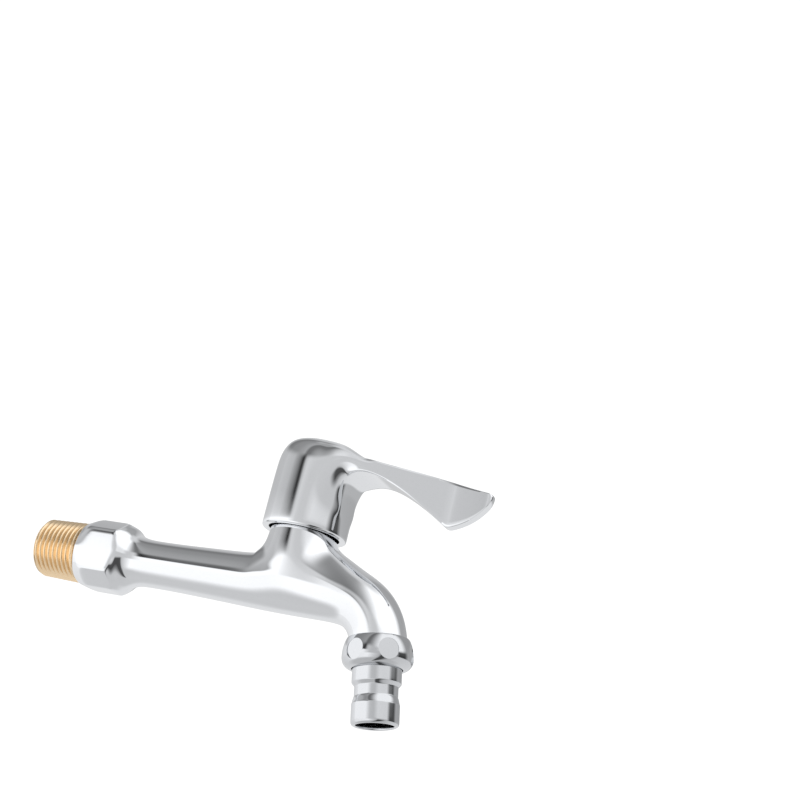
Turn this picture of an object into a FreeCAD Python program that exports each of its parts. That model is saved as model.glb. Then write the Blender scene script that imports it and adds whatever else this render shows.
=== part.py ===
import FreeCAD, Part
import math
import os
import re
import Sketcher

# Washing machine tap: a long cast body with a tapered wall thread and wrench flats, a quarter
# turn ceramic valve under a lever handle, and a hose nipple held by a round-sided nut.
# The origin is the centre of the wall thread's free end. X runs along the pipe to the spout,
# Z is up along the neck, and Y = 0 is the plane that cuts the tap in two like halves.

SIZES = {
    # wall thread, flats and pipe
    "thread_length": 16.0,
    "thread_end_radius": 10.1,
    "thread_root_radius": 10.6,
    "thread_pitch": 1.814,
    "thread_turns": 8.0,
    "thread_depth": 1.0,
    "thread_land": 0.35,
    "thread_relief": 1.2,
    "thread_chamfer": 0.8,
    "flat_width": 14.5,
    "flat_half_depth": 11.4,
    "flat_half_height": 11.9,
    "flat_top_half_width": 4.5,
    "flat_lead_in": 4.0,
    "flat_length": 15.5,
    "shoulder_radius": 11.7,
    "shoulder_length": 8.0,
    "pipe_radius": 8.15,
    "pipe_swell_start": 52.0,
    "pipe_swell_radius": 9.5,
    "mouth_radius": 7.0,
    "mouth_length": 18.0,
    "mouth_cone": 2.0,
    "bore_radius": 5.5,
    # neck, valve chamber and spout
    "neck_axis": 97.0,
    "neck_radius": 11.1,
    "neck_flare_radius": 11.7,
    "neck_flare_top": 12.5,
    "neck_base": 3.5,
    "neck_height": 24.0,
    "neck_blend": 6.0,
    "saddle_reach": 25.2,
    "saddle_level": 25.0,
    "saddle_radius": 15.5,
    "saddle_tube": 8.5,
    "saddle_end": 10.0,
    "saddle_turn": 60.0,
    "seat_level": 7.5,
    "seat_hole_radius": 4.2,
    "seat_wall": 1.6,
    "chamber_radius": 9.0,
    "elbow_start": 115.57,
    "elbow_radius": 17.5,
    "outlet_tilt": 11.5,
    "spout_radius": 9.6,
    "spout_collar": 2.5,
    "spout_step": 1.0,
    "outlet_thread_radius": 9.0,
    "outlet_thread_length": 5.4,
    # headwork: bonnet, spindle, discs and seals
    "thread_gap": 0.1,
    "running_gap": 0.05,
    "disc_gap": 0.3,
    "skirt_radius": 8.0,
    "skirt_bore": 7.2,
    "skirt_lift": 1.1,
    "skirt_window": 6.0,
    "bonnet_thread_length": 8.0,
    "bonnet_thread_relief": 1.0,
    "gasket_thickness": 1.0,
    "flange_radius": 10.9,
    "flange_thickness": 1.2,
    "bonnet_flats": 18.6,
    "bonnet_flats_height": 4.8,
    "boss_radius": 6.4,
    "boss_height": 4.0,
    "spindle_radius": 4.45,
    "spindle_foot": 2.5,
    "spline_radius": 4.0,
    "spline_depth": 0.35,
    "spline_teeth": 20.0,
    "spline_length": 10.0,
    "tongue_width": 2.8,
    "tongue_length": 10.0,
    "tongue_depth": 1.0,
    "seal_height": 2.5,
    "seal_wall": 1.3,
    "support_wall": 0.7,
    "support_drop": 0.4,
    "disc_thickness": 2.5,
    "disc_lug": 2.4,
    "port_inner_radius": 2.2,
    "port_outer_radius": 5.0,
    "port_angle": 70.0,
    "washer_thickness": 0.8,
    "o_ring_cord": 1.5,
    "o_ring_first": 3.0,
    "o_ring_spacing": 4.0,
    "stop_ring_thickness": 1.4,
    "stop_ring_radius": 5.7,
    "stop_tab_reach": 8.4,
    "stop_tab_width": 3.6,
    "stop_lug_width": 3.2,
    "stop_margin": 1.0,
    "stop_rest": 135.0,
    "clip_thickness": 0.7,
    "clip_groove": 0.7,
    "clip_radius": 5.4,
    "clip_mouth": 4.6,
    "quarter_turn": 90.0,
    # outlet: gasket, nut and nipple
    "outlet_gasket_thickness": 1.5,
    "outlet_gasket_bore": 6.8,
    "outlet_gasket_radius": 8.7,
    "nut_radius": 11.65,
    "nut_top_radius": 10.35,
    "nut_bulge_level": 6.0,
    "nut_lip": 2.6,
    "nut_gap": 0.15,
    "nut_flats": 6.0,
    "nut_flat_radius": 3.5,
    "nut_flat_turn": 52.0,
    "nut_flat_level": 3.8,
    "nut_flat_depth": 0.8,
    "nipple_flange_radius": 8.85,
    "nipple_flange": 1.7,
    "nipple_radius": 8.1,
    "nipple_collar": 4.6,
    "nipple_groove_radius": 7.15,
    "nipple_groove": 2.8,
    "nipple_ramp": 1.6,
    "nipple_end_radius": 7.85,
    "nipple_end": 7.7,
    "nipple_bore": 6.2,
    "nipple_lip": 1.0,
    # handle
    "rim_level": 18.1,
    "rim_radius": 14.0,
    "rim_round": 0.8,
    "cap_radius": 14.66,
    "cap_waist_level": 24.0,
    "cap_shoulder_level": 42.0,
    "cap_shoulder_radius": 13.96,
    "cap_corner_radius": 7.6,
    "cap_crown_radius": 8.5,
    "cap_crown_level": 49.8,
    "cap_crown_arc": 36.0,
    "cap_top_level": 50.6,
    "cap_bore": 12.5,
    "cap_ceiling": 43.5,
    "hub_radius": 8.5,
    "rib_width": 8.0,
    "insert_radius": 6.0,
    "insert_key": 2.0,
    "lever_length": 64.9,
    "lever_start": 2.0,
    "lever_arch_reach": 20.4,
    "lever_arch_radius": 7.5,
    "lever_arch_turn": 11.0,
    "lever_root_level": 40.6,
    "lever_heel_reach": 50.2,
    "lever_heel_level": 26.6,
    "lever_heel_round": 1.6,
    "lever_tail_radius": 16.8,
    "lever_tip_level": 40.6,
    "lever_tip_round": 3.4,
    "lever_saddle_reach": 27.0,
    "lever_saddle_level": 44.6,
    "lever_saddle_slope": 3.5,
    "lever_top_level": 50.4,
    "lever_blade": 3.6,
    "corbel_level": 24.0,
    "corbel_reach": 22.0,
    "corbel_top": 39.5,
    "lever_taper_round": 30.0,
    "lever_taper_end": 48.0,
    "lever_edge_round": 1.1,
    "screw_radius": 2.0,
    "screw_length": 8.2,
    "screw_socket": 2.0,
    "screw_socket_depth": 1.8,
    "screw_gap": 0.1,
    "screw_wall": 0.925,
}

# Places that follow from the sizes above, each written once.
PLACES = {
    "thread_taper": "(thread_root_radius - thread_end_radius) / thread_length",
    "flats_start": "thread_length + thread_relief",
    "flats_end": "flats_start + flat_length",
    "shoulder_end": "flats_end + shoulder_length",
    "elbow_turn": "90 - outlet_tilt",
    "outlet_x": "elbow_start + elbow_radius * sin(elbow_turn)",
    "outlet_z": "-elbow_radius * (1 - cos(elbow_turn))",
    "spout_face": "outlet_thread_length - spout_collar",
    "lower_chamber_end": "seat_hole_radius",
    "passage_start": "seat_hole_radius + seat_wall",
    "seal_top": "seat_level + seal_height",
    "disc_level": "seal_top + disc_thickness",
    "moving_top": "disc_level + disc_thickness",
    "foot_top": "moving_top + spindle_foot",
    "washer_top": "foot_top + washer_thickness",
    "o_ring_low": "washer_top + o_ring_first",
    "o_ring_high": "o_ring_low + o_ring_spacing",
    "stop_inner": "stop_ring_radius + disc_gap",
    "stop_clear": "(asin(stop_tab_width / 2 / stop_inner) + asin(stop_lug_width / 2 / stop_inner))"
                  " / 1 deg + stop_margin",
    "flange_level": "neck_height + gasket_thickness",
    "flats_level": "flange_level + flange_thickness",
    "boss_level": "flats_level + bonnet_flats_height",
    "boss_top": "boss_level + boss_height",
    "stop_top": "boss_top + stop_ring_thickness",
    "clip_level": "stop_top + running_gap",
    "clip_top": "clip_level + clip_thickness",
    "spindle_top": "boss_top + spline_length",
    "bonnet_thread_start": "neck_height - bonnet_thread_length",
    "insert_level": "clip_top + disc_gap",
    "insert_top": "spindle_top + disc_gap",
    "lever_taper": "(asin(cap_radius / sqrt(lever_taper_end ^ 2 + (lever_blade / 2) ^ 2))"
                   " - atan(lever_blade / 2 / lever_taper_end)) / 1 deg",
    "lever_contact": "cap_radius * sin(lever_taper)",
    "lever_arch_level": "lever_root_level - lever_arch_radius",
    "lever_under_start": "lever_arch_reach + lever_arch_radius * sin(lever_arch_turn)",
    "lever_under_level": "lever_arch_level + lever_arch_radius * cos(lever_arch_turn)",
    "lever_under_run": "lever_heel_reach - lever_under_start",
    "lever_under_fall": "lever_under_level - lever_heel_level",
    "lever_under_radius": "sqrt(lever_under_run ^ 2 + lever_under_fall ^ 2) / 2"
                          " / sin(atan(lever_under_fall / lever_under_run) / 1 deg - lever_arch_turn)",
    "lever_crest_run": "lever_length - lever_saddle_reach",
    "lever_crest_fall": "lever_saddle_level - lever_tip_level",
    "lever_crest_radius": "sqrt(lever_crest_run ^ 2 + lever_crest_fall ^ 2) / 2"
                          " / sin(atan(lever_crest_fall / lever_crest_run) / 1 deg - lever_saddle_slope)",
    "lever_saddle_run": "lever_saddle_reach - lever_start",
    "lever_saddle_fall": "lever_top_level - lever_saddle_level",
    "lever_saddle_radius": "sqrt(lever_saddle_run ^ 2 + lever_saddle_fall ^ 2) / 2 / sin("
                           "atan(lever_saddle_fall / lever_saddle_run) / 1 deg - lever_saddle_slope)",
    "screw_level": "insert_level + screw_wall + screw_gap + screw_radius",
    "gasket_end": "spout_face + outlet_gasket_thickness",
    "nipple_flange_end": "gasket_end + nipple_flange",
    "nut_start": "-spout_collar + nut_gap",
    "nut_end": "nipple_flange_end + running_gap + nut_lip",
    "collar_end": "nipple_flange_end + running_gap + nut_lip + nipple_collar",
    "groove_start": "collar_end + nipple_ramp",
    "groove_end": "groove_start + nipple_groove",
    "end_start": "groove_end + nipple_ramp",
    "nipple_tip": "end_start + nipple_end",
}

doc = FreeCAD.newDocument("washing_machine_tap")
sheet = doc.addObject("Spreadsheet::Sheet", "sizes")
for row, (size_name, size_value) in enumerate(SIZES.items(), start=1):
    sheet.set("A%d" % row, size_name)
    sheet.set("B%d" % row, str(size_value))
    sheet.setAlias("B%d" % row, size_name)
doc.recompute()

VECTOR = FreeCAD.Vector
TOLERANCE = 0.001
PARTS = []


def bound(text):
    """The expression text with each size read from the sheet and each place written out."""
    def put(match):
        word = match.group(0)
        if word in PLACES:
            return "(" + bound(PLACES[word]) + ")"
        if word in SIZES:
            return "sizes." + word
        return word
    return re.sub(r"[A-Za-z_]\w*", put, str(text))


def value(text):
    """The number that an expression stands for now."""
    return float(sheet.evalExpression(bound(text)))


def sketch_on(body, name, plane, at=("0", "0", "0"), turn=None, about=VECTOR(0, 0, 1)):
    """An empty sketch on one of the body's own planes, moved and turned by bound offsets."""
    sketch = body.newObject("Sketcher::SketchObject", name)
    origin_plane = [f for f in body.Origin.OriginFeatures if f.Role == plane][0]
    sketch.AttachmentSupport = [(origin_plane, "")]
    sketch.MapMode = "FlatFace"
    base = VECTOR(*[value(a) for a in at])
    angle = value(turn) if turn else 0.0
    sketch.AttachmentOffset = FreeCAD.Placement(base, FreeCAD.Rotation(about, angle))
    for axis, text in zip("xyz", at):
        if text != "0":
            sketch.setExpression("AttachmentOffset.Base." + axis, bound(text))
    if turn:
        sketch.setExpression("AttachmentOffset.Rotation.Angle", bound(turn))
    return sketch


def pin_point(sketch, edge, end, x_text, y_text):
    """Hold one end of an edge at a bound place."""
    for kind, axis, text in (("DistanceX", -2, x_text), ("DistanceY", -1, y_text)):
        if text == "0":
            sketch.addConstraint(Sketcher.Constraint("PointOnObject", edge, end, axis))
            continue
        index = sketch.addConstraint(Sketcher.Constraint(kind, -1, 1, edge, end, value(text)))
        sketch.setExpression("Constraints[%d]" % index, bound(text))


def outline(sketch, corners):
    """A closed outline. Each corner is (x, y) and may add the radius of the arc that leaves it,
    positive where that arc turns left and negative where it turns right."""
    spots = [VECTOR(value(c[0]), value(c[1]), 0) for c in corners]
    ends = []
    for i, corner in enumerate(corners):
        here, there = spots[i], spots[(i + 1) % len(spots)]
        if len(corner) == 2:
            edge = sketch.addGeometry(Part.LineSegment(here, there))
            ends.append((edge, 1, 2))
            continue
        radius = value(corner[2].lstrip("-"))
        left = not corner[2].startswith("-")
        chord = there - here
        across = VECTOR(-chord.y, chord.x, 0)
        across.normalize()
        rise = math.sqrt(max(radius ** 2 - (chord.Length / 2) ** 2, 0.0))
        centre = (here + there) / 2 + across * (rise if left else -rise)
        first, last = (here, there) if left else (there, here)
        start = math.atan2(first.y - centre.y, first.x - centre.x)
        stop = math.atan2(last.y - centre.y, last.x - centre.x)
        circle = Part.Circle(centre, VECTOR(0, 0, 1), radius)
        edge = sketch.addGeometry(Part.ArcOfCircle(circle, start, stop))
        ends.append((edge, 1, 2) if left else (edge, 2, 1))
    for i, corner in enumerate(corners):
        edge, start, stop = ends[i]
        follower = ends[(i + 1) % len(ends)]
        sketch.addConstraint(Sketcher.Constraint("Coincident", edge, stop, follower[0], follower[1]))
        pin_point(sketch, edge, start, corner[0], corner[1])
        if len(corner) == 3:
            text = corner[2].lstrip("-")
            index = sketch.addConstraint(Sketcher.Constraint("Radius", edge, value(text)))
            sketch.setExpression("Constraints[%d]" % index, bound(text))


def ring_outline(sketch, x_text, y_text, radius_text):
    """A circle with a bound centre and radius."""
    centre = VECTOR(value(x_text), value(y_text), 0)
    edge = sketch.addGeometry(Part.Circle(centre, VECTOR(0, 0, 1), value(radius_text)))
    pin_point(sketch, edge, 3, x_text, y_text)
    index = sketch.addConstraint(Sketcher.Constraint("Radius", edge, value(radius_text)))
    sketch.setExpression("Constraints[%d]" % index, bound(radius_text))


def add(body, kind, sketch, **settings):
    """One feature made from a sketch; text settings are bound to the sheet."""
    feature = body.newObject("PartDesign::" + kind, sketch.Name + "_" + kind.lower())
    feature.Profile = sketch
    for key, setting in settings.items():
        if key == "axis":
            feature.ReferenceAxis = (sketch, [setting])
        elif isinstance(setting, str) and key != "SideType":
            setattr(feature, key, value(setting))
            feature.setExpression(key, bound(setting))
        else:
            setattr(feature, key, setting)
    sketch.Visibility = False
    body.Tip = feature
    doc.recompute()
    return feature


def spin(body, kind, name, corners, plane="XZ_Plane", at=("0", "0", "0"), turn=None, axis="V_Axis"):
    """A turned shape or a turned cut: the outline spun about an axis of its own sketch."""
    sketch = sketch_on(body, name, plane, at, turn)
    outline(sketch, corners)
    return add(body, kind, sketch, axis=axis, Angle=360.0)


def new_body(label, place=None):
    """A sub-part of its own, on the neck axis or on the outlet axis where it belongs there."""
    body = doc.addObject("PartDesign::Body", label)
    body.Label = label
    if place == "neck":
        body.Placement.Base = VECTOR(value("neck_axis"), 0, 0)
        body.setExpression("Placement.Base.x", bound("neck_axis"))
    if place == "outlet":
        base = VECTOR(value("outlet_x"), 0, value("outlet_z"))
        rotation = FreeCAD.Rotation(VECTOR(0, 1, 0), value("180 - outlet_tilt"))
        body.Placement = FreeCAD.Placement(base, rotation)
        body.setExpression("Placement.Base.x", bound("outlet_x"))
        body.setExpression("Placement.Base.z", bound("outlet_z"))
        body.setExpression("Placement.Rotation.Angle", bound("180 - outlet_tilt"))
    PARTS.append(body)
    return body


def repeat(body, feature, count_text, angle=360.0, axis_name="Z_Axis"):
    """The feature again, evenly turned about an axis of the body."""
    pattern = body.newObject("PartDesign::PolarPattern", feature.Name + "_round")
    pattern.Originals = [feature]
    axis = [f for f in body.Origin.OriginFeatures if f.Role == axis_name][0]
    pattern.Axis = (axis, [""])
    pattern.Angle = angle
    pattern.Occurrences = int(value(count_text))
    pattern.setExpression("Occurrences", bound(count_text))
    body.Tip = pattern
    doc.recompute()
    return pattern


def regular(count, radius_text, phase):
    """Corners of a regular polygon whose flats lie at the given radius from its centre."""
    reach = "(%s) / cos(180 / %d)" % (radius_text, count)
    turns = [phase + 360 * i / count for i in range(count)]
    return [("%s * cos(%g)" % (reach, a), "%s * sin(%g)" % (reach, a)) for a in turns]


def tap_body():
    """The cast brass body: thread, wrench flats, pipe, neck, valve chamber and spout."""
    body = new_body("tap_body")
    spin(body, "Revolution", "pipe_outline", [
        ("0", "0"),
        ("0", "thread_end_radius - thread_chamfer"),
        ("thread_chamfer", "thread_end_radius"),
        ("thread_length", "thread_root_radius"),
        ("thread_length", "thread_root_radius - thread_depth"),
        ("flats_start", "thread_root_radius - thread_depth"),
        ("flats_start", "shoulder_radius - thread_depth"),
        ("flats_end", "shoulder_radius - thread_depth"),
        ("shoulder_end", "pipe_radius"),
        ("pipe_swell_start", "pipe_radius"),
        ("neck_axis", "pipe_swell_radius"),
        ("elbow_start", "spout_radius"),
        ("elbow_start", "0"),
    ], axis="H_Axis")

    flats = sketch_on(body, "wrench_flats", "YZ_Plane", at=("0", "0", "flats_start"))
    side, half = "flat_half_depth", "flat_width / 2"
    top, narrow = "flat_half_height", "flat_top_half_width"
    outline(flats, [
        (side, "-" + half), (side, half), (narrow, top), ("-" + narrow, top),
        ("-" + side, half), ("-" + side, "-" + half), ("-" + narrow, "-" + top), (narrow, "-" + top),
    ])
    add(body, "Pad", flats, Length="flat_length + shoulder_length")
    clear = "flat_half_depth + flat_half_height"
    spin(body, "Groove", "flats_lead_in", [
        ("flats_start", "shoulder_radius - thread_depth"),
        ("flats_start", clear),
        ("flats_start + flat_lead_in", clear),
        ("flats_start + flat_lead_in", "shoulder_radius + flat_lead_in / 2"),
    ], axis="H_Axis")
    spin(body, "Groove", "flats_shoulder", [
        ("flats_end - shoulder_length", "shoulder_radius + flat_lead_in / 2"),
        ("flats_end - shoulder_length", clear),
        ("shoulder_end", clear),
        ("shoulder_end", "pipe_radius"),
        ("flats_end", "shoulder_radius"),
    ], axis="H_Axis")

    elbow = sketch_on(body, "elbow_section", "YZ_Plane", at=("0", "-elbow_radius", "elbow_start"))
    ring_outline(elbow, "0", "elbow_radius", "spout_radius")
    add(body, "Revolution", elbow, axis="H_Axis", Angle="elbow_turn")
    outlet = ("outlet_x", "outlet_z", "0")
    spin(body, "Revolution", "spout_end", [
        ("0", "-1 * spout_step"),
        ("outlet_thread_radius", "-1 * spout_step"),
        ("outlet_thread_radius", "spout_face"),
        ("0", "spout_face"),
    ], at=outlet, turn="180 + outlet_tilt")
    spin(body, "Groove", "spout_collar", [
        ("outlet_thread_radius", "-spout_collar"),
        ("spout_radius + spout_step", "-spout_collar"),
        ("spout_radius + spout_step", "spout_step"),
        ("outlet_thread_radius", "spout_step"),
    ], at=outlet, turn="180 + outlet_tilt")
    neck = ("neck_axis", "0", "0")
    spin(body, "Revolution", "neck_outline", [
        ("0", "neck_base - neck_flare_radius", "neck_flare_radius"),
        ("neck_flare_radius", "neck_base"),
        ("neck_flare_radius", "neck_flare_top"),
        ("neck_radius", "neck_flare_top + neck_flare_radius - neck_radius"),
        ("neck_radius", "neck_height"),
        ("0", "neck_height"),
    ], at=neck)
    blend_neck(body)
    saddle = sketch_on(body, "saddle_section", "YZ_Plane", turn="saddle_end", about=VECTOR(1, 0, 0),
                       at=("0", "saddle_level", "neck_axis + saddle_reach"))
    ring_outline(saddle, "0", "-1 * (saddle_radius + saddle_tube)", "saddle_tube")
    add(body, "Revolution", saddle, axis="H_Axis", Angle="saddle_turn")

    spin(body, "Groove", "inlet_way", [
        ("0", "0"),
        ("0", "mouth_radius"),
        ("mouth_length", "mouth_radius"),
        ("mouth_length + mouth_cone", "bore_radius"),
        ("neck_axis + lower_chamber_end", "bore_radius"),
        ("neck_axis + lower_chamber_end", "0"),
    ], axis="H_Axis")
    spin(body, "Groove", "valve_chamber", [
        ("0", "0"),
        ("seat_hole_radius", "0"),
        ("seat_hole_radius", "seat_level"),
        ("chamber_radius", "seat_level"),
        ("chamber_radius", "neck_height"),
        ("0", "neck_height"),
    ], at=neck)
    crescent = sketch_on(body, "outlet_crescent", "XY_Plane", at=neck)
    half_chord = "sqrt(chamber_radius ^ 2 - (passage_start) ^ 2)"
    outline(crescent, [
        ("passage_start", "-1 * " + half_chord, "chamber_radius"),
        ("passage_start", half_chord),
    ])
    add(body, "Pocket", crescent, Length="seat_level", Reversed=True)
    spin(body, "Groove", "outlet_way", [
        ("passage_start", "0"),
        ("passage_start", "bore_radius"),
        ("elbow_start - neck_axis", "bore_radius"),
        ("elbow_start - neck_axis", "0"),
    ], at=neck, axis="H_Axis")
    elbow_bore = sketch_on(body, "elbow_bore", "YZ_Plane", at=("0", "-elbow_radius", "elbow_start"))
    ring_outline(elbow_bore, "0", "elbow_radius", "bore_radius")
    add(body, "Groove", elbow_bore, axis="H_Axis", Angle="elbow_turn")
    spin(body, "Groove", "outlet_mouth", [
        ("0", "0"),
        ("bore_radius", "0"),
        ("bore_radius", "spout_face"),
        ("0", "spout_face"),
    ], at=outlet, turn="180 + outlet_tilt")
    cut_wall_thread(body)
    return body


def blend_neck(body):
    """Round the inside corner where the neck meets the pipe and the spout."""
    names = []
    for i, edge in enumerate(body.Tip.Shape.Edges, start=1):
        middle = edge.valueAt((edge.FirstParameter + edge.LastParameter) / 2)
        reach = math.hypot(middle.x - value("neck_axis"), middle.y)
        curved = edge.Curve.TypeId == "Part::GeomBSplineCurve"
        if curved and middle.z > 0 and reach < value("neck_flare_radius + thread_gap"):
            names.append("Edge%d" % i)
    round_edges(body, names, "neck_blend")


def across_edges(body, x_text, z_text):
    """The straight edges that run from side to side through a place in the side view."""
    names = []
    for i, edge in enumerate(body.Tip.Shape.Edges, start=1):
        ends = [v.Point for v in edge.Vertexes]
        if all(math.hypot(q.x - value(x_text), q.z - value(z_text)) < TOLERANCE for q in ends):
            names.append("Edge%d" % i)
    return names


def round_edges(body, names, radius_text):
    """A fillet on named edges of what the body is so far."""
    so_far = body.Tip
    fillet = body.newObject("PartDesign::Fillet", body.Label + "_" + radius_text)
    fillet.Base = (so_far, names)
    fillet.Radius = value(radius_text)
    fillet.setExpression("Radius", bound(radius_text))
    body.Tip = fillet
    doc.recompute()


def cut_wall_thread(body):
    """The tapered wall thread as a row of V grooves, one pitch apart, that follow the cone."""
    sketch = sketch_on(body, "wall_thread", "XZ_Plane")
    half = "((thread_pitch - thread_land) / 2)"
    for turn in range(int(value("thread_turns"))):
        valley = "(thread_chamfer + thread_land + %s + %d * thread_pitch)" % (half, turn)
        crest = "(thread_end_radius + thread_taper * %s)" % valley
        outline(sketch, [
            ("%s - %s" % (valley, half), crest),
            (valley, crest + " - thread_depth"),
            ("%s + %s" % (valley, half), crest),
            (valley, crest + " + thread_depth"),
        ])
    add(body, "Groove", sketch, axis="H_Axis", Angle=360.0)


def block(body, kind, name, x_from, x_to, width, level, length, turn=None, upward=True):
    """A straight-sided block or slot, from one x to another and as wide about the X axis."""
    sketch = sketch_on(body, name, "XY_Plane", at=("0", "0", level), turn=turn)
    half = "(%s) / 2" % width
    outline(sketch, [(x_from, "-1 * " + half), (x_to, "-1 * " + half), (x_to, half), (x_from, half)])
    reverse = upward if kind == "Pocket" else not upward
    return add(body, kind, sketch, Length=length, Reversed=reverse)


def turned(label, place, corners):
    """A plain turned ring, washer or tube."""
    body = new_body(label, place)
    spin(body, "Revolution", label + "_outline", corners)
    return body


def ring(label, place, inner, outer, bottom, top):
    """A flat ring between two radii and two levels."""
    return turned(label, place, [(inner, bottom), (outer, bottom), (outer, top), (inner, top)])


def cartridge_bonnet():
    """The brass bonnet: disc skirt, screwed shank, flange, spanner flats, boss and stop lugs."""
    body = new_body("cartridge_bonnet", "neck")
    skirt_end = "seat_level + skirt_lift"
    shank = "chamber_radius - thread_gap"
    relief = "neck_height - bonnet_thread_relief"
    bore = "spindle_radius + running_gap"
    spin(body, "Revolution", "bonnet_outline", [
        ("skirt_bore", skirt_end),
        ("skirt_radius", skirt_end),
        ("skirt_radius", "bonnet_thread_start"),
        (shank, "bonnet_thread_start"),
        (shank, relief),
        ("skirt_radius", relief),
        ("skirt_radius", "flange_level"),
        ("flange_radius", "flange_level"),
        ("flange_radius", "flats_level"),
        ("boss_radius", "flats_level"),
        ("boss_radius", "boss_top"),
        (bore, "boss_top"),
        (bore, "washer_top"),
        ("skirt_bore", "washer_top"),
    ])
    flats = sketch_on(body, "bonnet_flats", "XY_Plane", at=("0", "0", "flats_level"))
    outline(flats, regular(6, "bonnet_flats / 2", 0))
    ring_outline(flats, "0", "0", "(spindle_radius + boss_radius) / 2")
    add(body, "Pad", flats, Length="bonnet_flats_height")
    for name, turn in (("closed_stop", "stop_rest - stop_clear"),
                       ("open_stop", "stop_rest + quarter_turn + stop_clear")):
        block(body, "Pad", name, "stop_inner", "stop_tab_reach",
              "stop_lug_width", "boss_level", "boss_height + stop_ring_thickness", turn=turn)
    window = sketch_on(body, "bonnet_window", "YZ_Plane")
    half = "skirt_window / 2"
    outline(window, [("-1 * " + half, "disc_level"), (half, "disc_level"),
                     (half, "moving_top"), ("-1 * " + half, "moving_top")])
    both_ways(body, window, "chamber_radius * 2")
    slot = sketch_on(body, "lug_slot", "XZ_Plane")
    half = "(disc_lug / 2 + thread_gap)"
    outline(slot, [("-1 * " + half, skirt_end), (half, skirt_end),
                   (half, "disc_level"), ("-1 * " + half, "disc_level")])
    both_ways(body, slot, "chamber_radius * 2")
    return body


def both_ways(body, sketch, length):
    """A pocket cut to both sides of its sketch."""
    return add(body, "Pocket", sketch, Length=length, SideType="Symmetric")


def valve_spindle():
    """The brass spindle: driving foot, two O-ring grooves, clip groove and splined head."""
    body = new_body("valve_spindle", "neck")
    foot = "skirt_bore - disc_gap"
    floor = "spindle_radius - o_ring_cord"
    half = "(o_ring_cord / 2 + thread_gap)"
    corners = [("0", "moving_top"), (foot, "moving_top"), (foot, "foot_top"),
               ("spindle_radius", "foot_top")]
    for level in ("o_ring_low", "o_ring_high"):
        corners += [("spindle_radius", level + " - " + half), (floor, level + " - " + half),
                    (floor, level + " + " + half), ("spindle_radius", level + " + " + half)]
    clip = "spline_radius - clip_groove"
    corners += [
        ("spindle_radius", "boss_top"),
        ("spline_radius", "boss_top"),
        ("spline_radius", "stop_top"),
        (clip, "stop_top"),
        (clip, "clip_top + running_gap"),
        ("spline_radius", "clip_top + running_gap"),
        ("spline_radius", "spindle_top - spline_depth"),
        ("spline_radius - spline_depth", "spindle_top"),
        ("0", "spindle_top"),
    ]
    spin(body, "Revolution", "spindle_outline", corners)
    block(body, "Pad", "driving_tongue", "-tongue_length / 2", "tongue_length / 2",
          "tongue_width", "moving_top", "tongue_depth", upward=False)
    tooth = sketch_on(body, "spline_gap", "XY_Plane", at=("0", "0", "boss_top"))
    spread = "(spline_radius * tan(180 deg / spline_teeth))"
    outline(tooth, [
        ("spline_radius - spline_depth", "0"),
        ("spline_radius + spline_depth", "-1 * " + spread),
        ("spline_radius + spline_depth", spread),
    ])
    gap = add(body, "Pocket", tooth, Length="spline_length", Reversed=True)
    repeat(body, gap, "spline_teeth")
    return body


def sector(body, name, inner, outer, level, turn):
    """A port: a ring sector about its own X axis."""
    sketch = sketch_on(body, name, "XY_Plane", at=("0", "0", level), turn=turn)
    half = "(port_angle / 2)"
    near_x, near_y = "%s * cos(%s)" % (inner, half), "%s * sin(%s)" % (inner, half)
    far_x, far_y = "(%s) * cos(%s)" % (outer, half), "(%s) * sin(%s)" % (outer, half)
    outline(sketch, [
        (near_x, "-1 * " + near_y),
        (far_x, "-1 * " + far_y, outer),
        (far_x, far_y),
        (near_x, near_y, "-" + inner),
    ])
    return sketch


def ceramic_discs():
    """The two lapped discs: the lower is keyed to the bonnet, the upper turns with the spindle."""
    fixed = new_body("fixed_ceramic_disc", "neck")
    blank = sketch_on(fixed, "fixed_blank", "XY_Plane", at=("0", "0", "seal_top"))
    ring_outline(blank, "0", "0", "skirt_bore - thread_gap")
    add(fixed, "Pad", blank, Length="disc_thickness")
    block(fixed, "Pad", "fixed_lugs", "-1 * (skirt_radius - thread_gap)", "skirt_radius - thread_gap",
          "disc_lug", "seal_top", "disc_thickness", turn="90")
    for name, turn in (("rear_port", "180"), ("front_port", "360")):
        port = sector(fixed, name, "port_inner_radius", "port_outer_radius", "seal_top", turn)
        add(fixed, "Pocket", port, Length="disc_thickness", Reversed=True)

    moving = new_body("moving_ceramic_disc", "neck")
    blank = sketch_on(moving, "moving_blank", "XY_Plane", at=("0", "0", "disc_level"))
    ring_outline(blank, "0", "0", "skirt_bore - disc_gap")
    add(moving, "Pad", blank, Length="disc_thickness")
    reach = "tongue_length / 2 + thread_gap"
    block(moving, "Pocket", "tongue_slot", "-1 * (%s)" % reach, reach,
          "tongue_width + 2 * thread_gap", "moving_top", "tongue_depth + thread_gap", upward=False)
    for name, turn in (("left_notch", "90"), ("right_notch", "270")):
        notch = sector(moving, name, "port_inner_radius", "skirt_bore + disc_gap", "disc_level", turn)
        add(moving, "Pocket", notch, Length="disc_thickness - tongue_depth", Reversed=True)


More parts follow.
